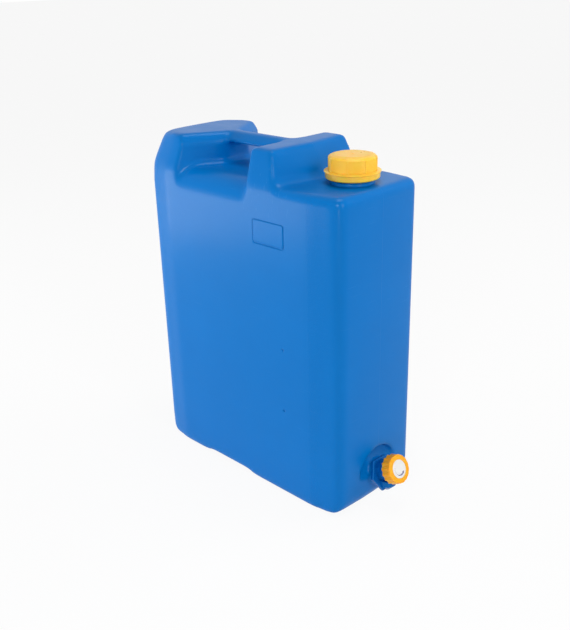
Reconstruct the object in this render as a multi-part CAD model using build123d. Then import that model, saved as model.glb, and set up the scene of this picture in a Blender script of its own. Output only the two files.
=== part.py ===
"""Plastic jerry can with an integral handle, a screw cap and a dispensing tap.

Millimetres, +Z up. The origin is the middle of the can's footprint on the ground, and +X runs
along the length towards the end with the filling neck and the tap.
Each piece is written to its own STEP file in parts/.
"""
from build123d import *
import os
from math import acos, atan2, cos, degrees, pi, radians, sin, sqrt

os.makedirs("parts", exist_ok=True)

# ---------------------------------------------------------------- driving dimensions
# Can body
can_height = 470.0
can_half_width = 80.0
tap_end_x = 177.7            # end face at the tap, before its bow
back_end_x = 176.0           # end face at the back, before its bow
end_bow = 2.8                # how far each end face bulges outwards in the middle
wall = 2.2                   # blow-moulded wall
taper_start = 129.0          # where the broad sides start to run in towards the ends
taper_drop = 7.3             # loss of half width from there to the end
taper_blend = 60.0           # radius that softens the start of the taper
tap_end_corner = 15.0        # upright corner radius at the tap end
back_end_corner = 20.0       # upright corner radius at the back end
base_round = 5.0             # radius round the underside
end_round = 22.0             # larger radius under both ends
# Underside
channel_height = 5.0         # finger grips in the long edges
channel_inner = 34.0         # how near the centre line they start
channel_from = -87.0
channel_to = 22.0
channel_ramp = 19.0
keel_height = 5.0            # notches in the middle of both ends
keel_inner = 112.0
keel_half_width = 28.0
keel_ramp = 8.0
# Shoulders and deck
kink_height = 425.0          # above this the sides of both shoulders lean inwards
top_half_width = 67.0
top_back_x = 160.0           # back end of the back shoulder's top
top_taper_start = 118.0
top_taper_drop = 9.0
top_back_corner = 19.0
deck_height = 430.0          # deck that carries the neck
deck_crown = 1.0
deck_round = 10.0            # radius round the deck's outer edge
deck_foot = 16.0             # radius between the deck and the front shoulder
prow_side_base = 74.0        # x of the front shoulder's wall at its foot, beside the broad faces
prow_mid_base = 90.0         # the same on the centre line
prow_side_top = 62.0
prow_mid_top = 68.5
prow_ridge = 26.0            # radius along the ridge of that wall
top_round = 6.0              # radius round the tops of the shoulders
# Hand recess and handle
recess_front_x = 27.0        # wall of the recess at the front shoulder
recess_back_x = -74.0        # wall of the recess under the handle's back root
recess_splay = 0.62          # slant of the back wall: x lost for each mm of y
recess_root_y = 22.0         # where that slant starts
recess_back_blend = 20.0
recess_floor = 428.0
recess_foot = 9.0            # radius between the recess floor and its walls
recess_flat_y = 50.0         # the floor is level this far out
recess_roll = 30.3           # radius by which the floor rolls down to the broad face
recess_rim = 6.0             # radius along the recess's edges on the broad faces
handle_half_width = 19.0
handle_depth = 14.0
handle_round = 6.0
handle_crest = 6.0           # half width of the grip's flat top, from which its sides slope down
grip_slope_height = 11.5
grip_slope_back = 9.0        # the slope carries on along the recess's back wall, cut in this far
handle_front_flare = 6.0
handle_back_flare = 8.0
handle_overlap = 25.0        # how far the handle's ends run into the shoulders
# Label frame on the broad face
label_centre_x = 65.5
label_centre_z = 370.0
label_length = 55.0
label_height = 32.0
label_corner = 4.5
groove_width = 0.9
groove_depth = 0.5
# Neck
neck_x = 133.2
neck_radius = 26.0
neck_bore = 23.2
neck_top = 459.4
collar_radius = 27.3
collar_top = 435.4
bead_radius = 28.6
bead_bottom = 438.5
bead_top = 441.0
neck_pitch = 4.0
neck_thread_depth = 1.4
neck_thread_from = 446.0
neck_thread_turns = 2.5
# Cap and tamper ring
cap_top = 464.5
cap_top_radius = 22.0        # flat middle of the cap's top
cap_slope_radius = 26.6      # the top slopes gently to here, then steeply to the skirt
cap_slope_drop = 1.2
cap_shoulder_drop = 3.6
cap_thread_clearance = 0.4
cap_skirt_radius = 29.2
cap_flange_radius = 34.6
cap_flange_bottom = 443.9
cap_flange_edge = 0.8
cap_flange_slope = 0.7
cap_rib_count = 144
cap_rib_height = 0.35
cap_bar_count = 8
cap_bar_height = 0.9
cap_bar_width = 2.2
cap_bar_phase = -17.5
cap_nub_radius = 1.4
cap_nub_height = 0.4
cap_gasket_thickness = 1.5
seal_gap = 0.05
ring_radius = 33.3
ring_bottom = 436.0
ring_slit = 0.7              # dark slit between the cap's flange and the ring
ring_clearance = 0.5
ring_wall = 2.2
ring_lip_height = 1.7
ring_edge = 1.3              # bevel round the ring's foot
# Tap: distances along its axis are counted outwards from the boss face
tap_tilt = 25.3              # the tap's axis points this far above level
boss_face_x = 183.9
boss_face_z = 45.0
boss_radius = 16.5
boss_depth = 26.0
hollow_radius = 36.5         # round hollow in the end face behind the tap
hollow_z = 42.0
hollow_draft = 6.0
hollow_floor = 4.5           # the boss stands this far out of its floor
tap_thread_radius = 13.2
tap_thread_depth = 1.2
tap_thread_pitch = 2.3
tap_thread_clearance = 0.3
tap_shank_length = 18.0
tap_shank_bore = 8.5
tap_gasket_radius = 15.8
tap_gasket_thickness = 3.0
flange_corner_radius = 24.0  # six-sided flange, set a little below the axis
flange_drop = 4.0
flange_thickness = 4.2
flange_edge = 1.0
barrel_radius = 14.5
barrel_bore = 11.0
barrel_front = 20.0
seat_face = 5.0
port_radius = 6.0
chamber_end = 12.8
bonnet_clearance = 0.1
bonnet_seal_thickness = 0.8
bonnet_seal_bore = 11.6
bonnet_front = 22.2
nozzle_x = 196.8
nozzle_tip_z = 22.4
nozzle_tip_radius = 4.8
nozzle_bore = 3.0
nozzle_base_z = 30.2
nozzle_base_radius = 12.4
stem_radius = 4.0
stem_running = 0.06
stem_thread_depth = 1.0
stem_pitch = 2.5
stem_thread_from = 11.0
stem_thread_turns = 1.6
stem_plate_radius = 8.0
stem_plate_thickness = 1.8
stem_flat = 2.6
o_ring_section = 1.5
o_ring_place = 20.1
seal_radius = 7.8
seal_thickness = 3.0
valve_screw_radius = 1.5
valve_screw_head = 3.4
knob_back = 22.8
knob_front = 36.0
knob_front_radius = 19.0
knob_back_radius = 20.0
knob_scallops = 16
scallop_radius = 6.0
scallop_depth = 1.3
knob_edge_round = 1.0
knob_rim = 2.6
knob_face = 3.0
hub_radius = 7.0
disc_radius = 12.2
disc_thickness = 1.2
disc_clearance = 0.15
knob_screw_radius = 1.4
knob_screw_head = 2.9

# ---------------------------------------------------------------- fits worked out from those
handle_bottom = can_height - handle_depth
flange_back = tap_gasket_thickness
flange_front = flange_back + flange_thickness
seal_back = seat_face + seal_gap
plate_back = seal_back + seal_thickness + seal_gap
plate_front = plate_back + stem_plate_thickness
cap_inner_radius = neck_radius + neck_thread_depth + cap_thread_clearance
cap_inner_top = neck_top + cap_gasket_thickness + 2 * seal_gap
stem_bore = stem_radius + stem_running


# ---------------------------------------------------------------- helpers
def wire_face(*edges):
    """Face bounded by edges given in order."""
    return make_face(Wire(list(edges)))


def lift(shape, z):
    return shape.moved(Location((0, 0, z)))


def tangent_chain(shape, near, tolerance=12.0):
    """Edge nearest to a point, with every edge that carries on smoothly from it."""
    edges = list(shape.edges())
    first = min(edges, key=lambda e: (e.center() - Vector(*near)).length)
    chain = [first]
    open_ends = [(first.position_at(0), -first.tangent_at(0)), (first.position_at(1), first.tangent_at(1))]
    while open_ends:
        point, heading = open_ends.pop()
        best = None
        for edge in edges:
            if any(edge.is_same(found) for found in chain):
                continue
            for end in (0, 1):
                if (edge.position_at(end) - point).length > 1e-3:
                    continue
                away = edge.tangent_at(end) * (1 if end == 0 else -1)
                turn = degrees(acos(max(-1.0, min(1.0, away.dot(heading)))))
                if turn < tolerance and (best is None or turn < best[0]):
                    best = (turn, edge, end)
        if best:
            _, edge, end = best
            chain.append(edge)
            far = 1 - end
            open_ends.append((edge.position_at(far), edge.tangent_at(far) * (1 if far == 1 else -1)))
    return chain


def thread_ridge(radius, depth, pitch, turns, start, base_width, crest_width, inward=False):
    """Helical thread about +Z. Its root is sunk a little into the wall that it stands on."""
    sign = -1 if inward else 1
    sink = 0.25
    helix = Helix(pitch=pitch, height=pitch * turns, radius=radius)
    half_base = base_width / 2
    half_crest = crest_width / 2
    inner = radius - sign * sink
    outer = radius + sign * depth
    profile = make_face(Polyline(
        (inner, 0, -half_base), (outer, 0, -half_crest), (outer, 0, half_crest), (inner, 0, half_base),
        close=True,
    ))
    return lift(sweep(profile, path=helix, is_frenet=True), start)


# ---------------------------------------------------------------- can body
def footprint(half_width, back_x, back_taper, back_drop, back_corner, inset):
    """Outline seen from above. Both ends taper a little and bow outwards."""
    y_front = half_width - taper_drop
    y_back = half_width - back_drop
    face = wire_face(
        Edge.make_line((-back_taper, -half_width), (taper_start, -half_width)),
        Edge.make_line((taper_start, -half_width), (tap_end_x, -y_front)),
        Edge.make_three_point_arc((tap_end_x, -y_front), (tap_end_x + end_bow, 0), (tap_end_x, y_front)),
        Edge.make_line((tap_end_x, y_front), (taper_start, half_width)),
        Edge.make_line((taper_start, half_width), (-back_taper, half_width)),
        Edge.make_line((-back_taper, half_width), (-back_x, y_back)),
        Edge.make_three_point_arc((-back_x, y_back), (-back_x - end_bow, 0), (-back_x, -y_back)),
        Edge.make_line((-back_x, -y_back), (-back_taper, -half_width)),
    )
    face = fillet([v for v in face.vertices() if v.X > tap_end_x - 1], tap_end_corner)
    face = fillet([v for v in face.vertices() if v.X < -back_x + 1], back_corner)
    softened = [v for v in face.vertices() if min(abs(v.X - taper_start), abs(v.X + back_taper)) < 0.5]
    face = fillet(softened, taper_blend)
    return offset(face, -inset) if inset else face


def lower_footprint(inset):
    return footprint(can_half_width, back_end_x, taper_start, taper_drop, back_end_corner, inset)


def upper_footprint(inset):
    return footprint(top_half_width, top_back_x, top_taper_start, top_taper_drop, top_back_corner, inset)


def end_cutter(end_x, drop, inset):
    """Ring that rounds the lower corner of an end face, following the face's bow."""
    chord = can_half_width - drop
    bow_radius = (chord ** 2 + end_bow ** 2) / (2 * end_bow)
    outer = bow_radius - inset
    radius = end_round - inset
    spare = 8.0
    low = inset
    inner_x = outer - radius
    middle = (inner_x + radius * sin(pi / 4), 0, low + radius * (1 - cos(pi / 4)))
    section = wire_face(
        Edge.make_three_point_arc((inner_x, 0, low), middle, (outer, 0, low + radius)),
        Edge.make_line((outer, 0, low + radius), (outer + spare, 0, low + radius)),
        Edge.make_line((outer + spare, 0, low + radius), (outer + spare, 0, low - spare)),
        Edge.make_line((outer + spare, 0, low - spare), (inner_x, 0, low - spare)),
        Edge.make_line((inner_x, 0, low - spare), (inner_x, 0, low)),
    )
    half_angle = 2 * degrees(chord / bow_radius)
    ring = revolve(section, Axis.Z, revolution_arc=2 * half_angle).rotate(Axis.Z, -half_angle)
    return ring.moved(Location((end_x + end_bow - bow_radius, 0, 0)))


def underside_tool(inset):
    """Finger grip in each long edge of the underside, and a notch in the middle of each end."""
    low = -10.0
    across = make_face(Polyline(
        (channel_from - 2 * channel_ramp, 0, low), (channel_from, 0, inset),
        (channel_from + channel_ramp, 0, channel_height + inset),
        (channel_to - channel_ramp, 0, channel_height + inset), (channel_to, 0, inset),
        (channel_to + 2 * channel_ramp, 0, low),
        close=True,
    ))
    along = make_face(Polyline(
        (0, -keel_half_width - 2 * keel_ramp, low), (0, -keel_half_width, inset),
        (0, -keel_half_width + keel_ramp, keel_height + inset),
        (0, keel_half_width - keel_ramp, keel_height + inset), (0, keel_half_width, inset),
        (0, keel_half_width + 2 * keel_ramp, low),
        close=True,
    ))
    grip = extrude(across.moved(Location((0, channel_inner - inset, 0))), amount=can_half_width, dir=(0, 1, 0))
    notch = extrude(along.moved(Location((keel_inner - inset, 0, 0))), amount=can_half_width * 2, dir=(1, 0, 0))
    return grip + mirror(grip, about=Plane.XZ) + notch + mirror(notch, about=Plane.YZ)


def deck_tool(inset):
    """Space above the deck, bounded by the front shoulder's wall, which has a ridge in the middle."""
    bottom_z = 400.0
    top_z = can_height + 10
    rise = can_height - deck_height

    def section(z):
        share = (z - deck_height) / rise
        side = prow_side_base + (prow_side_top - prow_side_base) * share - inset
        middle = prow_mid_base + (prow_mid_top - prow_mid_base) * share - inset
        reach = 1.5 * can_half_width
        side_far = side + (side - middle) * (reach / can_half_width - 1)
        end = tap_end_x + can_half_width
        face = make_face(Polyline(
            (side_far, -reach, z), (middle, 0, z), (side_far, reach, z), (end, reach, z), (end, -reach, z),
            close=True,
        ))
        ridge = [v for v in face.vertices() if abs(v.Y) < 0.1]
        return fillet(ridge, prow_ridge).wires()[0]

    prism = Solid.make_loft([section(bottom_z), section(top_z)], ruled=True)
    crown_z = deck_height - inset
    reach = 1.5 * can_half_width
    crown_radius = (can_half_width ** 2 + deck_crown ** 2) / (2 * deck_crown)
    edge_z = crown_z - (crown_radius - sqrt(crown_radius ** 2 - reach ** 2))
    above = wire_face(
        Edge.make_three_point_arc((0, -reach, edge_z), (0, 0, crown_z), (0, reach, edge_z)),
        Edge.make_line((0, reach, edge_z), (0, reach, top_z + 20)),
        Edge.make_line((0, reach, top_z + 20), (0, -reach, top_z + 20)),
        Edge.make_line((0, -reach, top_z + 20), (0, -reach, edge_z)),
    )
    tool = prism & extrude(above, amount=2 * can_height, dir=(1, 0, 0))
    foot = [e for e in tool.edges() if e.center().X < tap_end_x / 1.7 and e.center().Z < deck_height + 1
            and abs(e.center().Y) < reach - 1]
    return fillet(foot, deck_foot + inset)


def saddle_tool(inset):
    """Hand recess between the two shoulders, open upwards and to both broad sides."""
    reach = can_half_width + 50
    splayed = recess_back_x - recess_splay * (reach - recess_root_y)
    plan = make_face(Polyline(
        (recess_front_x, -reach), (recess_front_x, reach), (splayed, reach), (recess_back_x, recess_root_y),
        (recess_back_x, -recess_root_y), (splayed, -reach),
        close=True,
    ))
    plan = fillet([v for v in plan.vertices() if abs(v.X - recess_back_x) < 1], recess_back_blend)
    plan = offset(plan, inset) if inset else plan
    start = recess_floor - 60
    prism = lift(extrude(plan, amount=can_height + 20 - start), start)
    floor_z = recess_floor - inset
    centre_z = recess_floor - recess_roll
    radius = recess_roll - inset
    diagonal = radius * sin(pi / 4)
    outer_y = recess_flat_y + radius
    top_z = can_height + 40
    above = wire_face(
        Edge.make_line((0, -recess_flat_y, floor_z), (0, recess_flat_y, floor_z)),
        Edge.make_three_point_arc((0, recess_flat_y, floor_z), (0, recess_flat_y + diagonal, centre_z + diagonal),
                                  (0, outer_y, centre_z)),
        Edge.make_line((0, outer_y, centre_z), (0, reach + 10, centre_z)),
        Edge.make_line((0, reach + 10, centre_z), (0, reach + 10, top_z)),
        Edge.make_line((0, reach + 10, top_z), (0, -reach - 10, top_z)),
        Edge.make_line((0, -reach - 10, top_z), (0, -reach - 10, centre_z)),
        Edge.make_line((0, -reach - 10, centre_z), (0, -outer_y, centre_z)),
        Edge.make_three_point_arc((0, -outer_y, centre_z), (0, -recess_flat_y - diagonal, centre_z + diagonal),
                                  (0, -recess_flat_y, floor_z)),
    )
    tool = prism & extrude(above, amount=2 * can_height, dir=(1, 0, 0)).moved(Location((-can_height, 0, 0)))
    front = tangent_chain(tool, (recess_front_x + inset, 0, floor_z))
    back = tangent_chain(tool, (recess_back_x - inset, 0, floor_z))
    return fillet(front + back, recess_foot + inset)


def handle(inset):
    """Grip bar with a flare at each root, running into both shoulders."""
    graft = 0.5
    front_x = recess_front_x + graft
    back_x = recess_back_x + recess_splay * (recess_root_y - handle_half_width) - graft
    half_root = handle_half_width + handle_front_flare + 5
    back_side_x = back_x - recess_splay * (half_root - handle_half_width)
    back_far = back_side_x - handle_overlap
    back_block = make_face(Polyline(
        (back_x, handle_half_width), (back_side_x, half_root), (back_far, half_root),
        (back_far, -half_root), (back_side_x, -half_root), (back_x, -handle_half_width),
        close=True,
    ))
    front_block = Pos(front_x + handle_overlap / 2, 0) * Rectangle(handle_overlap, 2 * half_root)
    bar_length = front_x - back_far
    bar = Pos((front_x + back_far) / 2, 0) * Rectangle(bar_length, 2 * handle_half_width)
    plan = bar + back_block + front_block
    on_side = [v for v in plan.vertices() if abs(abs(v.Y) - handle_half_width) < 0.1]
    plan = fillet([v for v in on_side if v.X > 0], handle_front_flare)
    on_side = [v for v in plan.vertices() if abs(abs(v.Y) - handle_half_width) < 0.1]
    plan = fillet([v for v in on_side if abs(v.X - back_x) < 1], handle_back_flare)
    plan = offset(plan, -inset) if inset else plan
    bar = lift(extrude(plan, amount=handle_depth - 2 * inset), handle_bottom + inset)
    middle_x = (front_x + back_x) / 2
    long_edges = []
    for side in (-1, 1):
        for z in (handle_bottom + inset, can_height - inset):
            long_edges += tangent_chain(bar, (middle_x, side * (handle_half_width - inset), z))
    return fillet(long_edges, handle_round - 0.9 * inset)


def grip_slopes(inset):
    """What the sloping sides of the grip and of the recess's back wall leave open, on both sides."""
    reach = can_half_width + 50
    side_run = (handle_half_width - handle_crest) / grip_slope_height
    back_run = grip_slope_back / grip_slope_height
    side_shift = inset * sqrt(1 + side_run ** 2)
    back_shift = inset * sqrt(1 + recess_splay ** 2 + back_run ** 2)
    slope_foot = can_height - grip_slope_height

    def section(z):
        rise = z - slope_foot
        side_y = handle_half_width - side_run * rise - side_shift
        near_x = recess_back_x - recess_splay * (side_y - recess_root_y) - back_run * rise - back_shift
        far_x = near_x - recess_splay * (reach - side_y)
        front = recess_front_x + inset
        outline = Polyline((front, side_y, z), (front, reach, z), (far_x, reach, z), (near_x, side_y, z), close=True)
        return make_face(outline).wires()[0]

    funnel = Solid.make_loft([section(slope_foot - 2 * inset), section(can_height + 2)], ruled=True)
    corner = min(funnel.edges(), key=lambda e: (e.center() - Vector(recess_back_x, 0, can_height)).length)
    funnel = fillet(corner, handle_back_flare + inset)
    return funnel + mirror(funnel, about=Plane.XZ)


def can_form(inset):
    """Closed form of the can: the outside with no inset, the inside with the wall as inset."""
    top_z = can_height - inset
    block = lift(extrude(lower_footprint(inset), amount=top_z - inset), inset)
    block = fillet(block.edges().group_by(Axis.Z)[0], base_round - inset)
    block = block - end_cutter(tap_end_x, taper_drop, inset)
    block = block - mirror(end_cutter(back_end_x, taper_drop, inset), about=Plane.YZ)
    block = block - underside_tool(inset)
    block = block - deck_tool(inset)
    deck_edge = (taper_start - 20, -can_half_width + inset, deck_height - deck_crown - inset)
    block = fillet(tangent_chain(block, deck_edge), deck_round - inset)
    block = block - saddle_tool(inset)
    for side in (-1, 1):
        rim = tangent_chain(block, (recess_front_x + inset, side * (can_half_width - inset), kink_height + 20))
        block = fillet(rim, recess_rim - inset)
    lower = lift(Box(3 * can_height, 3 * can_height, kink_height, align=(Align.CENTER, Align.CENTER, Align.MIN)), 0)
    lean = Solid.make_loft([
        lift(lower_footprint(inset), kink_height).wires()[0],
        lift(upper_footprint(inset), can_height).wires()[0],
    ], ruled=True)
    block = (block & lower) + (block & lean)
    on_top = [e for e in block.edges() if e.bounding_box().min.Z > top_z - 0.01]
    block = fillet(on_top, top_round - inset)
    return block + handle(inset) - grip_slopes(inset)


# ---------------------------------------------------------------- what is cut in and added to the can
def tap_plane(distance):
    """Plane across the tap's axis, facing outwards, that far outside the boss face."""
    tilt = radians(tap_tilt)
    along = Vector(cos(tilt), 0, sin(tilt))
    face = Plane(origin=(boss_face_x, 0, boss_face_z), x_dir=(0, 1, 0), z_dir=along)
    return face.offset(distance)


def on_tap(start, shape):
    """Put a shape that is modelled along +Z on the tap's axis."""
    return tap_plane(start) * shape


def tube(outer, inner, length):
    """Ring standing on its own origin."""
    base = (Align.CENTER, Align.CENTER, Align.MIN)
    return Cylinder(outer, length, align=base) - Cylinder(inner, length, align=base)


def rod(radius, length):
    return Cylinder(radius, length, align=(Align.CENTER, Align.CENTER, Align.MIN))


def taper(start_radius, end_radius, length):
    return Cone(start_radius, end_radius, length, align=(Align.CENTER, Align.CENTER, Align.MIN))


def tap_hollow(inset):
    """Round hollow in the end face behind the tap. Its floor is square to the tap's axis."""
    spare = 10.0
    depth = 60.0
    slope = sin(radians(hollow_draft)) / cos(radians(hollow_draft))
    mouth = hollow_radius + inset + spare * slope
    cone = taper(mouth, mouth - depth * slope, depth)
    cone = Plane(origin=(tap_end_x + spare, 0, hollow_z), x_dir=(0, 1, 0), z_dir=(-1, 0, 0)) * cone
    beyond = on_tap(-hollow_floor - inset, Box(200, 200, 100, align=(Align.CENTER, Align.CENTER, Align.MIN)))
    return cone & beyond


def label_groove():
    """Thin rounded frame let in to the broad face."""
    outer = RectangleRounded(label_length, label_height, label_corner)
    inner = RectangleRounded(label_length - 2 * groove_width, label_height - 2 * groove_width,
                             label_corner - groove_width)
    face = Plane(origin=(label_centre_x, -can_half_width, label_centre_z), x_dir=(1, 0, 0), z_dir=(0, -1, 0))
    return face * extrude(outer - inner, amount=groove_depth, both=True)


def neck():
    """Filling neck with a collar, a bead that keeps the tamper ring on, and an outside thread."""
    foot = deck_height - deck_crown - 2 * wall
    body = lift(rod(neck_radius, neck_top - foot), foot)
    body = body + lift(rod(collar_radius, collar_top - foot), foot)
    body = body + lift(rod(bead_radius, bead_top - bead_bottom), bead_bottom)
    ridge = thread_ridge(neck_radius, neck_thread_depth, neck_pitch, neck_thread_turns, neck_thread_from,
                         base_width=2.0, crest_width=1.1)
    return (body + ridge).moved(Location((neck_x, 0, 0)))


def neck_hole():
    start = deck_height - 6 * wall
    return lift(rod(neck_bore, neck_top - start + 1), start).moved(Location((neck_x, 0, 0)))


def tap_boss():
    """Tilted tube that takes the tap's shank. It runs in to the can."""
    return on_tap(-boss_depth, rod(boss_radius, boss_depth))


def tap_boss_hole():
    start = -boss_depth - 1
    return on_tap(start, rod(tap_thread_radius + tap_thread_clearance, boss_depth + 2))


def make_can_body():
    outside = can_form(0) - tap_hollow(0)
    inside = can_form(wall) - tap_hollow(wall)
    body = outside - inside
    boss = tap_boss() - end_clearance()
    body = body + boss + neck()
    body = body - neck_hole() - tap_boss_hole()
    return body - label_groove()


def end_clearance():
    """Keeps the boss off the floor of the can's own underside."""
    return Box(4 * can_height, 4 * can_height, 2 * can_height, align=(Align.CENTER, Align.CENTER, Align.MAX))


# ---------------------------------------------------------------- cap
def cap_profile(proud):
    """Turned form of the cap's skirt and crown, standing proud of the plain skirt."""
    height = cap_top - cap_flange_bottom
    section = make_face(Polyline(
        (0, 0, 0), (cap_skirt_radius + proud, 0, 0),
        (cap_skirt_radius + proud, 0, height - cap_shoulder_drop),
        (cap_slope_radius + proud, 0, height - cap_slope_drop),
        (cap_top_radius, 0, height), (0, 0, height),
        close=True,
    ))
    return revolve(section, Axis.Z)


def make_screw_cap():
    height = cap_top - cap_flange_bottom
    corners = []
    for index in range(2 * cap_rib_count):
        radius = cap_skirt_radius + cap_rib_height * (index % 2)
        angle = pi * index / cap_rib_count
        corners.append((radius * cos(angle), radius * sin(angle)))
    body = extrude(make_face(Polyline(*corners, close=True)), amount=height) & cap_profile(cap_rib_height)
    bars = cap_profile(cap_bar_height)
    spokes = []
    for index in range(cap_bar_count // 2):
        angle = cap_bar_phase + 360.0 * index / cap_bar_count
        spoke = Box(4 * cap_skirt_radius, cap_bar_width, height, align=(Align.CENTER, Align.CENTER, Align.MIN))
        spokes.append(Rot(0, 0, angle) * spoke)
    body = body + (bars & (spokes[0] + spokes[1:]))
    body = body + rod(cap_flange_radius, cap_flange_edge)
    slope = taper(cap_flange_radius, cap_skirt_radius, cap_flange_slope)
    body = body + lift(slope, cap_flange_edge) + lift(rod(cap_nub_radius, cap_nub_height), height)
    body = lift(body, cap_flange_bottom)
    body = body - lift(rod(cap_inner_radius, cap_inner_top - cap_flange_bottom + 1), cap_flange_bottom - 1)
    female = thread_ridge(cap_inner_radius, neck_thread_depth, neck_pitch, neck_thread_turns,
                          neck_thread_from + neck_pitch / 2, base_width=1.6, crest_width=0.8, inward=True)
    return (body + female).moved(Location((neck_x, 0, 0)))


def make_cap_gasket():
    disc = rod(cap_inner_radius - ring_clearance, cap_gasket_thickness)
    return lift(disc, neck_top + seal_gap).moved(Location((neck_x, 0, 0)))


def make_tamper_ring():
    height = cap_flange_bottom - ring_slit - ring_bottom
    ring = tube(ring_radius, ring_radius - ring_wall, height)
    ring = ring + tube(ring_radius, neck_radius + ring_clearance, ring_lip_height)
    foot = [e for e in ring.edges().group_by(Axis.Z)[0] if e.length > 6 * ring_radius]
    ring = chamfer(foot, ring_edge)
    return lift(ring, ring_bottom).moved(Location((neck_x, 0, 0)))


# ---------------------------------------------------------------- tap
def make_tap_body():
    """Shank, hex flange, barrel and nozzle in one moulding."""
    shank = rod(tap_thread_radius - tap_thread_depth, tap_shank_length + flange_back)
    thread_turns = (tap_shank_length - 2 * tap_thread_pitch) / tap_thread_pitch
    ridge = thread_ridge(tap_thread_radius - tap_thread_depth, tap_thread_depth, tap_thread_pitch,
                         thread_turns, tap_thread_pitch, base_width=1.8, crest_width=0.5)
    body = on_tap(-tap_shank_length, shank + ridge)
    hexagon = extrude(RegularPolygon(flange_corner_radius, 6), amount=flange_thickness)
    hexagon = chamfer(hexagon.edges().group_by(Axis.Z)[-1], flange_edge)
    body = body + on_tap(flange_back, Pos(0, -flange_drop, 0) * hexagon)
    body = body + on_tap(flange_front - 0.5, rod(barrel_radius, barrel_front - flange_front + 0.5))
    cone = taper(nozzle_tip_radius, nozzle_base_radius, nozzle_base_z - nozzle_tip_z)
    cone = cone.moved(Location((nozzle_x, 0, nozzle_tip_z)))
    neck_up = rod(nozzle_base_radius, 8.0).moved(Location((nozzle_x, 0, nozzle_base_z)))
    in_front = on_tap(flange_back, Box(90, 90, barrel_front - flange_back,
                                       align=(Align.CENTER, Align.CENTER, Align.MIN)))
    body = body + (cone + neck_up) & (body + in_front)
    body = body - on_tap(-tap_shank_length - 1, rod(tap_shank_bore, tap_shank_length + 3))
    body = body - on_tap(0, rod(port_radius, seat_face + 1))
    body = body - on_tap(seat_face, rod(barrel_bore, barrel_front - seat_face + 1))
    drain = rod(nozzle_bore, boss_face_z - nozzle_tip_z + 1)
    return body - drain.moved(Location((nozzle_x, 0, nozzle_tip_z - 1)))


def make_tap_gasket():
    return on_tap(0, tube(tap_gasket_radius, tap_thread_radius + tap_thread_clearance, tap_gasket_thickness))


def make_tap_bonnet():
    """Plug in the front of the barrel that guides the stem and holds its seal."""
    plug = rod(barrel_bore - bonnet_clearance, barrel_front - chamber_end)
    plug = lift(plug, chamber_end)
    cover_start = barrel_front + bonnet_seal_thickness
    plug = plug + lift(rod(barrel_bore - bonnet_clearance, bonnet_seal_thickness), barrel_front)
    plug = plug + lift(rod(barrel_radius, bonnet_front - cover_start), cover_start)
    thread_end = o_ring_place - o_ring_section
    plug = plug - lift(rod(stem_bore, bonnet_front - chamber_end + 2), chamber_end - 1)
    wide = stem_radius + stem_thread_depth + ring_clearance
    plug = plug - lift(rod(wide, thread_end - chamber_end + 1), chamber_end - 1)
    groove = tube(stem_radius + o_ring_section, stem_radius - 1, o_ring_section)
    plug = plug - lift(groove, o_ring_place - o_ring_section / 2)
    female = thread_ridge(wide, stem_thread_depth, stem_pitch, 1.5, chamber_end + 1.3,
                          base_width=1.0, crest_width=0.5, inward=True)
    phase = 360.0 * ((chamber_end + 1.3 - stem_thread_from - stem_pitch / 2) / stem_pitch)
    return on_tap(0, plug + Rot(0, 0, phase) * female)


def make_bonnet_seal():
    return on_tap(barrel_front, tube(barrel_radius - 0.5, bonnet_seal_bore, bonnet_seal_thickness))


def make_stem_o_ring():
    ring_middle = stem_bore + o_ring_section / 2
    return on_tap(o_ring_place, Torus(ring_middle, o_ring_section / 2 - stem_running))


def make_tap_stem():
    """Threaded spindle with a plate that backs the valve seal and flats that drive the knob."""
    hub_front = knob_front - knob_face
    stem = lift(rod(stem_plate_radius, stem_plate_thickness), plate_back)
    stem = stem + lift(rod(stem_radius, hub_front - plate_back - 1.0), plate_back)
    ridge = thread_ridge(stem_radius, stem_thread_depth, stem_pitch, stem_thread_turns, stem_thread_from,
                         base_width=1.2, crest_width=0.6)
    flat_start = knob_back - ring_clearance
    flat = Pos(0, stem_flat + stem_radius, flat_start + 10) * Box(20, 2 * stem_radius, 20)
    flats = flat + mirror(flat, about=Plane.XZ)
    stem = stem + ridge - flats
    stem = stem - lift(rod(valve_screw_radius, 8.0), plate_back - 0.1)
    stem = stem - lift(rod(knob_screw_radius, 9.0), hub_front - 10.0)
    return on_tap(0, stem)


def make_valve_seal():
    return on_tap(seal_back, tube(seal_radius, valve_screw_radius + ring_clearance, seal_thickness))


def make_valve_screw():
    head_height = 2.0
    head_back = seal_back - seal_gap - head_height
    screw = lift(rod(valve_screw_head, head_height), head_back)
    screw = screw + lift(rod(valve_screw_radius, plate_back + 6.0 - head_back), head_back)
    slot = Pos(0, 0, head_back) * Box(0.9, 4 * valve_screw_head, 2 * 0.8)
    return on_tap(0, screw - slot)


def make_tap_knob():
    """Scalloped cup with a hub that takes the stem."""
    height = knob_front - knob_back
    body = taper(knob_back_radius, knob_front_radius, height)
    for index in range(knob_scallops):
        angle = 360.0 * (index + 0.5) / knob_scallops
        middle = knob_back_radius + scallop_radius - scallop_depth
        cutter = Pos(middle, 0, -1) * rod(scallop_radius, height + 2)
        body = body - Rot(0, 0, angle) * cutter
    body = fillet(body.edges().group_by(Axis.Z)[-1], knob_edge_round)
    cup = rod(knob_back_radius - knob_rim - scallop_depth, height - knob_face) - rod(hub_radius, height)
    body = body - cup
    flats = Rectangle(2 * stem_radius, 2 * stem_flat) & Circle(stem_radius)
    body = body - extrude(flats, amount=height - knob_face - 1.0)
    body = body - rod(knob_screw_radius + ring_clearance, height)
    body = body - lift(rod(disc_radius + disc_clearance, disc_thickness + 1), height - disc_thickness)
    body = body - lift(rod(knob_screw_head + ring_clearance, knob_face), height - knob_face + 0.6)
    return on_tap(knob_back, body)


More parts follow.
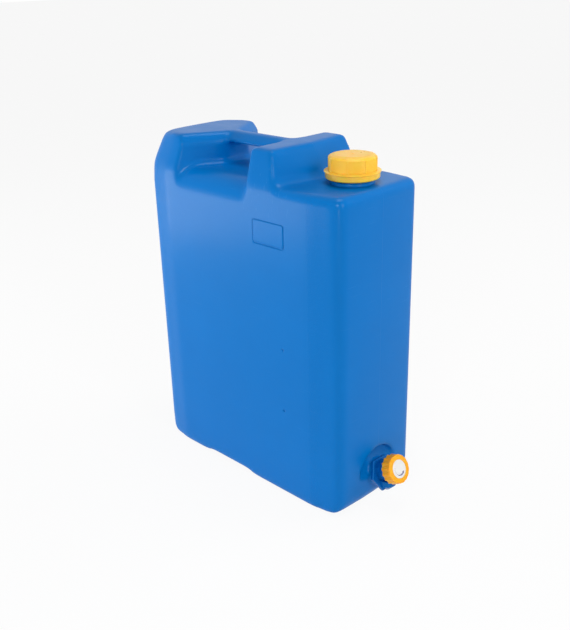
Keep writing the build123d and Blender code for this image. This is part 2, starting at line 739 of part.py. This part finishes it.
def make_knob_disc():
    return on_tap(knob_front - disc_thickness, rod(disc_radius, disc_thickness))


def make_knob_screw():
    head_height = 1.0
    head_back = knob_front - knob_face + 0.6
    screw = lift(rod(knob_screw_head, head_height), head_back)
    screw = screw + lift(rod(knob_screw_radius, head_back - (knob_front - knob_face - 8.0)),
                         knob_front - knob_face - 8.0)
    return on_tap(0, screw)


PIECES = {
    "can_body": make_can_body,
    "screw_cap": make_screw_cap,
    "cap_gasket": make_cap_gasket,
    "tamper_ring": make_tamper_ring,
    "tap_body": make_tap_body,
    "tap_gasket": make_tap_gasket,
    "tap_bonnet": make_tap_bonnet,
    "bonnet_seal": make_bonnet_seal,
    "stem_o_ring": make_stem_o_ring,
    "tap_stem": make_tap_stem,
    "valve_seal": make_valve_seal,
    "valve_screw": make_valve_screw,
    "tap_knob": make_tap_knob,
    "knob_disc": make_knob_disc,
    "knob_screw": make_knob_screw,
}

for name, make in PIECES.items():
    export_step(make(), "parts/" + name + ".step")
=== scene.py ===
"""Looks of the jerry can: materials, fine details, studio and camera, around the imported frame."""
from math import cos, pi, radians, sin

import bmesh
import bpy
import numpy as np
from mathutils import Matrix, Vector


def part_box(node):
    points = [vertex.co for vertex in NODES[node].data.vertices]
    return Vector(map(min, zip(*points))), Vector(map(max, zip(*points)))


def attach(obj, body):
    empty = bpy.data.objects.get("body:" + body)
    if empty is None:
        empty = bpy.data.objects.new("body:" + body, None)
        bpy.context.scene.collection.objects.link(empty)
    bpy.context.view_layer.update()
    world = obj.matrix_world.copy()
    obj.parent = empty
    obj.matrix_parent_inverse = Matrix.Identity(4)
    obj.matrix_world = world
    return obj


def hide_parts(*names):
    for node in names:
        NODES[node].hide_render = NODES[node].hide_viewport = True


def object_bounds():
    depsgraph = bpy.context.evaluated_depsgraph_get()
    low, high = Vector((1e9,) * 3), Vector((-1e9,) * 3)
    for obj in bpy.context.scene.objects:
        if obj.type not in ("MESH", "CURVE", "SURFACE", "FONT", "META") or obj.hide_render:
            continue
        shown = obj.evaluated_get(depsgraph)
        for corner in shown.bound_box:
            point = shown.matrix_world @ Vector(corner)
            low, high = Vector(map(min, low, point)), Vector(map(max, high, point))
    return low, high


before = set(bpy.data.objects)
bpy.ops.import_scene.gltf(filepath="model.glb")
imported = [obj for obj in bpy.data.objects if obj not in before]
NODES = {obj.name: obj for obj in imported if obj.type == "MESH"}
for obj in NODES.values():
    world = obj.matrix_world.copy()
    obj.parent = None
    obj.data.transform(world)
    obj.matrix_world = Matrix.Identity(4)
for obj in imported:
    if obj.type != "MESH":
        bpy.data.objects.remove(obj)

CAD_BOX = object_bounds()


# ---------------------------------------------------------------- materials
def new_material(name):
    """Empty node material with a Principled shader; returns it with its nodes, links and shader."""
    material = bpy.data.materials.new(name)
    material.use_nodes = True
    nodes, links = material.node_tree.nodes, material.node_tree.links
    return material, nodes, links, nodes["Principled BSDF"]


def noise(nodes, links, coords, scale, detail=3.0, roughness=0.5):
    node = nodes.new("ShaderNodeTexNoise")
    node.inputs["Scale"].default_value = scale
    node.inputs["Detail"].default_value = detail
    node.inputs["Roughness"].default_value = roughness
    links.new(coords, node.inputs["Vector"])
    return node.outputs["Fac"]


def span(nodes, links, value, low, high, out_low=0.0, out_high=1.0):
    """Value scaled from low..high to out_low..out_high and held at the ends."""
    node = nodes.new("ShaderNodeMapRange")
    node.inputs["From Min"].default_value = low
    node.inputs["From Max"].default_value = high
    node.inputs["To Min"].default_value = out_low
    node.inputs["To Max"].default_value = out_high
    links.new(value, node.inputs["Value"])
    return node.outputs["Result"]


def mix_colour(nodes, links, factor, first, second):
    node = nodes.new("ShaderNodeMix")
    node.data_type = "RGBA"
    links.new(factor, node.inputs["Factor"])
    for socket, value in ((node.inputs[6], first), (node.inputs[7], second)):
        if isinstance(value, tuple):
            socket.default_value = value + (1.0,)
        else:
            links.new(value, socket)
    return node.outputs[2]


def calculate(nodes, links, operation, first, second=0.0):
    """One step of arithmetic on values that are numbers or sockets."""
    node = nodes.new("ShaderNodeMath")
    node.operation = operation
    for socket, value in zip(node.inputs, (first, second)):
        if isinstance(value, float):
            socket.default_value = value
        else:
            links.new(value, socket)
    return node.outputs[0]


def times(nodes, links, *factors):
    """Product of all the factors."""
    product = factors[0]
    for factor in factors[1:]:
        product = calculate(nodes, links, "MULTIPLY", product, factor)
    return product


def raise_surface(nodes, links, height, distance, strength=1.0, under=None):
    """Bump on top of an earlier bump; returns the new normal."""
    bump = nodes.new("ShaderNodeBump")
    bump.inputs["Distance"].default_value = distance
    bump.inputs["Strength"].default_value = strength
    links.new(height, bump.inputs["Height"])
    if under is not None:
        links.new(under, bump.inputs["Normal"])
    return bump.outputs["Normal"]


def streaks(nodes, links, coords, stretch, turn, low, high):
    """Fine scratches: noise drawn out along one direction, cut off near its peaks."""
    mapping = nodes.new("ShaderNodeMapping")
    mapping.inputs["Scale"].default_value = stretch
    mapping.inputs["Rotation"].default_value = turn
    links.new(coords, mapping.inputs["Vector"])
    return span(nodes, links, noise(nodes, links, mapping.outputs["Vector"], 1.0, 2.0), low, high)


GRAIN_SCALE = 900.0
SCRATCH_ROUGHNESS = 0.12     # how much duller a scratch is than the plastic beside it


def plastic(name, colour, worn, rough, grain, specular=0.5, tint=(1.0, 1.0, 1.0)):
    """Moulded plastic: slow colour drift, rubbed patches, fine grain and a few scratches."""
    material, nodes, links, shader = new_material(name)
    coords = nodes.new("ShaderNodeTexCoord").outputs["Object"]
    drift = span(nodes, links, noise(nodes, links, coords, 30.0, 4.0), 0.35, 0.65)
    patches = noise(nodes, links, coords, 90.0, 5.0, 0.6)
    scuffs = streaks(nodes, links, coords, (60.0, 900.0, 120.0), (0.4, 0.9, 0.3), 0.66, 0.74)
    links.new(mix_colour(nodes, links, drift, colour, worn), shader.inputs["Base Color"])
    rubbed = span(nodes, links, patches, 0.3, 0.7, *rough)
    links.new(calculate(nodes, links, "ADD", rubbed, times(nodes, links, scuffs, SCRATCH_ROUGHNESS)),
              shader.inputs["Roughness"])
    shader.inputs["Specular IOR Level"].default_value = specular
    shader.inputs["Specular Tint"].default_value = tint + (1.0,)
    pebbles = raise_surface(nodes, links, noise(nodes, links, coords, GRAIN_SCALE, 2.0), grain, 0.35)
    links.new(raise_surface(nodes, links, scuffs, 0.00003, 0.5, pebbles), shader.inputs["Normal"])
    return material


# where the features of the can's surface lie, in metres: (start, full)
BROAD_FACE = (0.069, 0.078)          # distance from the middle plane at which the broad faces begin
TAPERED_FACE = (0.127, 0.131)        # x at which the grained faces next to the tap's end begin
LABEL_SCRATCHES_Z = (0.385, 0.40)
LABEL_SCRATCHES_START = (0.0, 0.03)
LABEL_SCRATCHES_END = (0.105, 0.12)
SEAM = (0.0001, 0.0007)              # distance from the middle plane


def can_plastic():
    """The can's blow-moulded plastic: grain on the tapered faces, the mould's seam, rubbing and scratches."""
    material, nodes, links, shader = new_material("can_blue")
    coords = nodes.new("ShaderNodeTexCoord").outputs["Object"]
    parts = nodes.new("ShaderNodeSeparateXYZ")
    links.new(coords, parts.inputs[0])
    x, y, z = parts.outputs
    across = calculate(nodes, links, "ABSOLUTE", y)
    broad = span(nodes, links, across, *BROAD_FACE)
    # colour
    drift = span(nodes, links, noise(nodes, links, coords, 9.0, 4.0), 0.35, 0.65)
    colour = mix_colour(nodes, links, drift, CAN_COLOUR, CAN_COLOUR_DRIFT)
    above_label = times(nodes, links, broad, span(nodes, links, z, *LABEL_SCRATCHES_Z),
                        span(nodes, links, x, *LABEL_SCRATCHES_START),
                        span(nodes, links, x, *LABEL_SCRATCHES_END, 1.0, 0.0))
    fine = streaks(nodes, links, coords, (700.0, 60.0, 90.0), (0.0, 0.7, 0.0), 0.66, 0.73)
    long = streaks(nodes, links, coords, (26.0, 26.0, 1300.0), (0.0, 0.15, 0.0), 0.70, 0.76)
    scratches = calculate(nodes, links, "MAXIMUM", times(nodes, links, fine, above_label),
                          times(nodes, links, long, 0.5))
    colour = mix_colour(nodes, links, times(nodes, links, scratches, 0.3), colour, CAN_SCRATCH)
    links.new(colour, shader.inputs["Base Color"])
    # gloss
    patches = span(nodes, links, noise(nodes, links, coords, 38.0, 5.0, 0.6), 0.3, 0.7, 0.36, 0.44)
    links.new(calculate(nodes, links, "ADD", patches, times(nodes, links, scratches, SCRATCH_ROUGHNESS)),
              shader.inputs["Roughness"])
    shader.inputs["Specular IOR Level"].default_value = 0.06
    shader.inputs["Specular Tint"].default_value = (0.0, 0.9, 1.0, 1.0)
    shader.inputs["Coat Weight"].default_value = 0.2
    shader.inputs["Coat Roughness"].default_value = 0.2
    # surface
    tapered = span(nodes, links, x, *TAPERED_FACE, 0.12, 1.0)
    pebbles = times(nodes, links, noise(nodes, links, coords, 560.0, 2.0), tapered, broad)
    normal = raise_surface(nodes, links, pebbles, 0.0011, 0.5)
    waves = noise(nodes, links, coords, 11.0, 1.0)
    normal = raise_surface(nodes, links, waves, 0.0012, 0.5, normal)
    seam = span(nodes, links, across, *SEAM, 1.0, 0.0)
    normal = raise_surface(nodes, links, seam, 0.0002, 0.6, normal)
    links.new(raise_surface(nodes, links, scratches, 0.00004, 0.5, normal), shader.inputs["Normal"])
    return material


CAN_COLOUR = (0.0, 0.145, 0.475)
CAN_COLOUR_DRIFT = (0.0, 0.151, 0.492)
CAN_SCRATCH = (0.10, 0.32, 0.70)
can_blue = can_plastic()
tap_blue = plastic("tap_blue", (0.0, 0.09, 0.36), (0.0, 0.10, 0.38), (0.22, 0.32), 0.0001,
                   tint=(0.15, 0.75, 1.0))
cap_yellow = plastic("cap_yellow", (0.99, 0.555, 0.060), (0.98, 0.535, 0.055), (0.26, 0.36), 0.0001,
                     specular=0.25)
knob_yellow = plastic("knob_yellow", (0.97, 0.40, 0.018), (0.95, 0.385, 0.016), (0.24, 0.34), 0.0001,
                      specular=0.2)
disc_white = plastic("disc_white", (0.73, 0.72, 0.70), (0.71, 0.70, 0.68), (0.3, 0.4), 0.00005)
dial_ink = plastic("dial_ink", (0.035, 0.025, 0.16), (0.05, 0.035, 0.19), (0.4, 0.5), 0.00002)
stem_white = plastic("stem_white", (0.70, 0.70, 0.68), (0.66, 0.66, 0.64), (0.35, 0.45), 0.0001)
rubber = plastic("rubber", (0.015, 0.015, 0.016), (0.02, 0.02, 0.02), (0.55, 0.7), 0.0001)
foam = plastic("foam", (0.70, 0.70, 0.67), (0.65, 0.65, 0.62), (0.6, 0.7), 0.0003)
steel = plastic("steel", (0.45, 0.45, 0.46), (0.5, 0.5, 0.5), (0.25, 0.35), 0.00005)
steel.node_tree.nodes["Principled BSDF"].inputs["Metallic"].default_value = 1.0
for see_through in (cap_yellow, knob_yellow):
    shader = see_through.node_tree.nodes["Principled BSDF"]
    shader.inputs["Subsurface Weight"].default_value = 0.35
    shader.inputs["Subsurface Scale"].default_value = 0.008

FINISHES = {
    "can_body": can_blue, "screw_cap": cap_yellow, "tamper_ring": cap_yellow, "cap_gasket": foam,
    "tap_body": tap_blue, "tap_gasket": rubber, "tap_bonnet": tap_blue, "bonnet_seal": rubber,
    "stem_o_ring": rubber, "tap_stem": stem_white, "valve_seal": rubber, "valve_screw": steel,
    "tap_knob": knob_yellow, "knob_disc": disc_white, "knob_screw": steel,
}
for node_name, finish in FINISHES.items():
    mesh = NODES[node_name].data
    mesh.materials.clear()
    mesh.materials.append(finish)

# ---------------------------------------------------------------- the can's moulded skin
RING_LOW, RING_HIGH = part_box("tamper_ring")
NECK_X = (RING_LOW.x + RING_HIGH.x) / 2
NECK_REACH = 0.0288          # just past the bead on the neck
NECK_BORE_REACH = 0.0258     # over the hole through the deck
DECK_UNDER = 0.424
DECK_OVER = 0.432
SKIN_STEP = 0.0026           # spacing of the skin's points
BOSS_FACE = Vector((0.1839, 0.0, 0.0450))
TAP_TILT = radians(25.3)
TAP_AXIS = Vector((cos(TAP_TILT), 0.0, sin(TAP_TILT)))
BOSS_BORE = 0.0137
HOLLOW_REACH = 0.040         # of the hollow around the tap, from the tap's axis
HOLLOW_FADE = 0.008
SHARP_ANGLE = radians(38)


def new_object(name, mesh):
    """Object with the mesh, linked to the scene."""
    thing = bpy.data.objects.new(name, mesh)
    bpy.context.scene.collection.objects.link(thing)
    return thing


def new_mesh(bm, name):
    """The bmesh as a mesh; the bmesh is freed."""
    mesh = bpy.data.meshes.new(name)
    bm.to_mesh(mesh)
    bm.free()
    return mesh


def with_modifiers(thing):
    """The object's mesh with its modifiers applied, as a new mesh."""
    graph = bpy.context.evaluated_depsgraph_get()
    return bpy.data.meshes.new_from_object(thing.evaluated_get(graph))


def from_tap(point):
    """How far outwards from the boss face the point is, and how far from the tap's axis."""
    offset = point - BOSS_FACE
    along = offset.dot(TAP_AXIS)
    return along, (offset - TAP_AXIS * along).length


def on_neck(vertex, reach=NECK_REACH):
    return (vertex.co.xy - Vector((NECK_X, 0.0))).length < reach and vertex.co.z > DECK_UNDER


def in_boss(vertex):
    along, reach = from_tap(vertex.co)
    return reach < BOSS_BORE and -0.03 < along < 0.001


def ground_piece(bm):
    """Vertices of the connected piece that reaches the ground."""
    lowest = min(bm.verts, key=lambda v: v.co.z)
    seen, queue = {lowest}, [lowest]
    while queue:
        for edge in queue.pop().link_edges:
            for vertex in edge.verts:
                if vertex not in seen:
                    seen.add(vertex)
                    queue.append(vertex)
    return seen


def face_place(face):
    """The face's centre, rounded so that copies of it match."""
    return tuple(round(c, 6) for c in face.calc_center_median())


def split_can():
    """The outer wall, closed where the neck and the tap's boss were, and the rest: neck, boss, inner wall."""
    outside, rest = bmesh.new(), bmesh.new()
    for bm in (outside, rest):
        bm.from_mesh(NODES["can_body"].data)
        bmesh.ops.remove_doubles(bm, verts=bm.verts, dist=2e-6)
    cut = [f for f in outside.faces if all(map(on_neck, f.verts)) or all(map(in_boss, f.verts))]
    bmesh.ops.delete(outside, geom=cut, context="FACES_ONLY")
    kept = ground_piece(outside)
    wall_places = {face_place(f) for f in outside.faces if f.verts[0] in kept}
    bmesh.ops.delete(outside, geom=[v for v in outside.verts if v not in kept], context="VERTS")
    bmesh.ops.holes_fill(outside, edges=[e for e in outside.edges if e.is_boundary], sides=0)
    bmesh.ops.triangulate(outside, faces=outside.faces)
    outer = [f for f in rest.faces if face_place(f) in wall_places]
    bmesh.ops.delete(rest, geom=outer, context="FACES")
    return new_mesh(outside, "can_outside"), rest


WALL_ROUNDS, SHOULDER_ROUNDS, FOOT_ROUNDS = 5, 40, 10


def relax(points, edges, weights, rounds):
    """Moves each point half way to the middle of its neighbours, round after round, by its weight."""
    first, second = edges[:, 0], edges[:, 1]
    count = np.bincount(edges.ravel(), minlength=len(points))[:, None]
    for _ in range(rounds):
        total = np.empty_like(points)
        for axis in range(3):
            total[:, axis] = (np.bincount(first, points[second, axis], len(points))
                              + np.bincount(second, points[first, axis], len(points)))
        points += 0.5 * weights[:, None] * (total / count - points)
    return points


def step_up(values, start, end):
    """0 up to start, 1 from end, smooth between."""
    part = np.clip((values - start) / (end - start), 0.0, 1.0)
    return part * part * (3 - 2 * part)


def soften(mesh):
    """Rounds the wall as blow moulding does: most at the back shoulder, least in the hollow around the tap."""
    points = np.empty(len(mesh.vertices) * 3)
    mesh.vertices.foreach_get("co", points)
    points = points.reshape(-1, 3)
    edges = np.empty(len(mesh.edges) * 2, int)
    mesh.edges.foreach_get("vertices", edges)
    edges = edges.reshape(-1, 2)
    offset = points - np.array(BOSS_FACE)
    along = offset @ np.array(TAP_AXIS)
    reach = np.linalg.norm(offset - along[:, None] * np.array(TAP_AXIS), axis=1)
    hollow = 1.0 - step_up(reach, HOLLOW_REACH, HOLLOW_REACH + HOLLOW_FADE)
    points = relax(points, edges, 1.0 - 0.6 * hollow, WALL_ROUNDS)
    back = step_up(-points[:, 0], 0.125, 0.15) * step_up(points[:, 2], 0.40, 0.415)
    points = relax(points, edges, back, SHOULDER_ROUNDS)
    low = (1.0 - step_up(points[:, 2], 0.02, 0.035)) * (1.0 - hollow)
    points = relax(points, edges, low, FOOT_ROUNDS)
    mesh.vertices.foreach_set("co", points.ravel())
    mesh.update()


LABEL_MIDDLE, LABEL_HALF, LABEL_CORNER = (0.0655, 0.370), (0.0275, 0.016), 0.0045
LINE_WIDTH, LINE_DEPTH = 0.0009, 0.0005
TOOL_STAND = 0.002           # how far the cutting tool stands out of the face
CORNER_STEPS = 6
PIN_MARKS = ((0.0860, 0.2189), (0.0858, 0.1313))
PIN_RADIUS, PIN_STAND = 0.0019, 0.0003


def frame_tool():
    """Cutting tool for the label's thin rounded frame in the broad face and for two ejector pin marks."""
    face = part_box("can_body")[0].y
    outside, bottom = face - TOOL_STAND, face + LINE_DEPTH
    bm = bmesh.new()
    loops = []
    for inward, place in ((0.0, outside), (0.0, bottom), (LINE_WIDTH, bottom), (LINE_WIDTH, outside)):
        loop = []
        for quarter, (side_x, side_z) in enumerate(((1, 1), (-1, 1), (-1, -1), (1, -1))):
            for step in range(CORNER_STEPS + 1):
                angle = pi / 2 * (quarter + step / CORNER_STEPS)
                radius = LABEL_CORNER - inward
                x = LABEL_MIDDLE[0] + side_x * (LABEL_HALF[0] - LABEL_CORNER) + radius * cos(angle)
                z = LABEL_MIDDLE[1] + side_z * (LABEL_HALF[1] - LABEL_CORNER) + radius * sin(angle)
                loop.append(bm.verts.new((x, place, z)))
        loops.append(loop)
    for first, second in zip(loops, loops[1:] + loops[:1]):
        for index in range(len(first)):
            after = (index + 1) % len(first)
            bm.faces.new((first[index], first[after], second[after], second[index]))
    for x, z in PIN_MARKS:
        made = bmesh.ops.create_icosphere(bm, subdivisions=2, radius=PIN_RADIUS)
        bmesh.ops.translate(bm, verts=made["verts"], vec=(x, face - PIN_STAND, z))
    bmesh.ops.recalc_face_normals(bm, faces=bm.faces)
    return new_object("frame_tool", new_mesh(bm, "frame_tool"))


def make_skin():
    """The can's rounded skin, which replaces the can's plain solid."""
    outside, rest = split_can()
    skin = new_object("can_skin", outside)
    remesh = skin.modifiers.new("remesh", "REMESH")
    remesh.mode = "VOXEL"
    remesh.voxel_size = SKIN_STEP
    smooth = with_modifiers(skin)
    soften(smooth)
    skin.modifiers.clear()
    skin.data = smooth
    tool = frame_tool()
    cut = skin.modifiers.new("cut", "BOOLEAN")
    cut.object = tool
    cut.solver = "EXACT"
    finished = with_modifiers(skin)
    skin.modifiers.clear()
    bpy.data.objects.remove(tool)
    rest.from_mesh(finished)
    under_neck = [f for f in rest.faces if all(on_neck(v, NECK_BORE_REACH) for v in f.verts)
                  and max(v.co.z for v in f.verts) < DECK_OVER and f.normal.z > 0.5]
    bmesh.ops.delete(rest, geom=under_neck, context="FACES")
    skin.data = new_mesh(rest, "can_skin")
    skin.data.materials.clear()
    skin.data.materials.append(can_blue)
    skin.data.polygons.foreach_set("material_index", [0] * len(skin.data.polygons))
    skin.data.polygons.foreach_set("use_smooth", [True] * len(skin.data.polygons))
    skin.data.set_sharp_from_angle(angle=SHARP_ANGLE)
    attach(skin, "can")
    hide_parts("can_body")


make_skin()


# ---------------------------------------------------------------- marks printed on the knob's disc
DISC_THICKNESS = 0.0012
MARK_CLEARANCE = 0.00003
TICK_INNER, TICK_OUTER, TICK_HALF_ANGLE = 0.0079, 0.0087, 1.3
ARC_RADIUS = 0.0083


def dial_marks():
    """A ring of ticks that grows into an arrow, showing which way the tap opens."""
    low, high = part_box("knob_disc")
    middle = (low + high) / 2 + TAP_AXIS * (DISC_THICKNESS / 2 + MARK_CLEARANCE)
    right = Vector((0.0, 1.0, 0.0))
    up = Vector((-sin(TAP_TILT), 0.0, cos(TAP_TILT)))
    bm = bmesh.new()

    def at(radius, degrees_round):
        angle = radians(degrees_round)
        return bm.verts.new(middle + right * (radius * cos(angle)) + up * (radius * sin(angle)))

    def patch(start, end, inner, outer, steps=1):
        for step in range(steps):
            first = start + (end - start) * step / steps
            last = start + (end - start) * (step + 1) / steps
            bm.faces.new((at(outer, first), at(outer, last), at(inner, last), at(inner, first)))

    for angle in range(152, 226, 8):
        patch(angle - TICK_HALF_ANGLE, angle + TICK_HALF_ANGLE, TICK_INNER, TICK_OUTER)
    for index, angle in enumerate(range(228, 304, 5)):
        grown = 0.00035 + 0.00005 * index
        patch(angle, angle + 4.0, ARC_RADIUS - grown, ARC_RADIUS + grown, 2)
    bm.faces.new((at(0.0101, 303), at(ARC_RADIUS, 324), at(0.0065, 303)))
    bmesh.ops.recalc_face_normals(bm, faces=bm.faces)
    marks = new_object("dial_marks", new_mesh(bm, "dial_marks"))
    marks.data.materials.append(dial_ink)
    for face in marks.data.polygons:
        if face.normal.dot(TAP_AXIS) < 0:
            face.flip()
    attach(marks, "knob")


dial_marks()

# ---------------------------------------------------------------- camera
TARGET = Vector((0.01153, 0.0, 0.22258))
DISTANCE = 1.1713
AZIMUTH, ELEVATION, ROLL = radians(45.2), radians(22.59), radians(-1.53)
FOCAL_PIXELS, FRAME_HEIGHT, SENSOR = 838.81, 630.0, 36.0

away = Vector((sin(AZIMUTH) * cos(ELEVATION), -cos(AZIMUTH) * cos(ELEVATION), sin(ELEVATION)))
camera_data = bpy.data.cameras.new("camera")
camera_data.sensor_width = SENSOR
camera_data.lens = FOCAL_PIXELS * SENSOR / FRAME_HEIGHT
camera = bpy.data.objects.new("camera", camera_data)
bpy.context.scene.collection.objects.link(camera)
turn = (-away).to_track_quat("-Z", "Y").to_matrix().to_4x4()
camera.matrix_world = Matrix.Translation(TARGET + away * DISTANCE) @ turn @ Matrix.Rotation(ROLL, 4, "Z")
bpy.context.scene.camera = camera

# ---------------------------------------------------------------- studio
def area_light(name, place, aim, size, power, glossy=True):
    """Softbox that the camera doesn't see; glossy says whether it shows in reflections."""
    data = bpy.data.lights.new(name, "AREA")
    data.shape = "RECTANGLE"
    data.size, data.size_y = size
    data.energy = power
    lamp = bpy.data.objects.new(name, data)
    lamp.location = place
    lamp.visible_glossy = glossy
    lamp.visible_camera = False
    lamp.rotation_euler = (Vector(aim) - Vector(place)).to_track_quat("-Z", "Y").to_euler()
    bpy.context.scene.collection.objects.link(lamp)


MIDDLE = (0.0, 0.0, 0.25)
area_light("softbox_low_left", (-1.6, -1.0, 0.3), MIDDLE, (1.2, 0.5), 21.0, glossy=False)
area_light("strip_low_left", (-0.80, -0.90, 0.13), (0.05, -0.08, 0.40), (1.1, 0.24), 4.0)
area_light("strip_low_front", (1.25, -1.30, 0.12), (0.16, -0.06, 0.25), (0.2, 0.15), 2.2)
area_light("softbox_right_back", (1.2, 1.5, 1.0), MIDDLE, (1.2, 1.4), 20.0, glossy=False)
area_light("softbox_right", (1.8, -0.4, 1.0), MIDDLE, (0.5, 1.2), 11.5)
area_light("softbox_front", (1.0, -1.7, 1.2), MIDDLE, (0.5, 0.5), 14.5)
area_light("softbox_top", (0.1, 0.1, 2.2), MIDDLE, (1.0, 1.0), 16.5)


def camera_sees_white(nodes, links, plain, seen):
    """Joins plain, for light, and seen, for what the camera, a mirror or a clear piece sees directly."""
    path = nodes.new("ShaderNodeLightPath")
    highest = nodes.new("ShaderNodeMath")
    highest.operation = "MAXIMUM"
    links.new(path.outputs["Is Camera Ray"], highest.inputs[0])
    links.new(path.outputs["Is Glossy Ray"], highest.inputs[1])
    most = nodes.new("ShaderNodeMath")
    most.operation = "MAXIMUM"
    links.new(highest.outputs[0], most.inputs[0])
    links.new(path.outputs["Is Transmission Ray"], most.inputs[1])
    mixer = nodes.new("ShaderNodeMixShader")
    links.new(most.outputs[0], mixer.inputs[0])
    links.new(plain, mixer.inputs[1])
    links.new(seen, mixer.inputs[2])
    return mixer.outputs[0]


AMBIENT = 0.08
FLOOR_WHITE = 0.92           # share of plain white in the floor that the camera sees; the rest shows the shadow
FLOOR_SIZE, FLOOR_GAP = 40.0, 0.0002

world = bpy.data.worlds.new("studio")
world.use_nodes = True
bpy.context.scene.world = world
nodes, links = world.node_tree.nodes, world.node_tree.links
ambient = nodes["Background"]
ambient.inputs["Color"].default_value = (1.0, 1.0, 1.0, 1.0)
ambient.inputs["Strength"].default_value = AMBIENT
white = nodes.new("ShaderNodeBackground")
white.inputs["Color"].default_value = (1.0, 1.0, 1.0, 1.0)
white.inputs["Strength"].default_value = 1.0
joined = camera_sees_white(nodes, links, ambient.outputs[0], white.outputs[0])
links.new(joined, nodes["World Output"].inputs["Surface"])

floor_material, nodes, links, shader = new_material("floor")
shader.inputs["Base Color"].default_value = (0.8, 0.8, 0.8, 1.0)
shader.inputs["Roughness"].default_value = 0.9
glow = nodes.new("ShaderNodeEmission")
glow.inputs["Color"].default_value = (1.0, 1.0, 1.0, 1.0)
glow.inputs["Strength"].default_value = 1.0
lit = nodes.new("ShaderNodeMixShader")
lit.inputs[0].default_value = FLOOR_WHITE
links.new(shader.outputs[0], lit.inputs[1])
links.new(glow.outputs[0], lit.inputs[2])
joined = camera_sees_white(nodes, links, shader.outputs[0], lit.outputs[0])
links.new(joined, nodes["Material Output"].inputs["Surface"])

bpy.ops.mesh.primitive_plane_add(size=FLOOR_SIZE, location=(0.0, 0.0, CAD_BOX[0][2] - FLOOR_GAP))
floor = bpy.context.object
floor.name = "floor"
floor.data.materials.append(floor_material)

bpy.context.scene.view_settings.view_transform = "Standard"
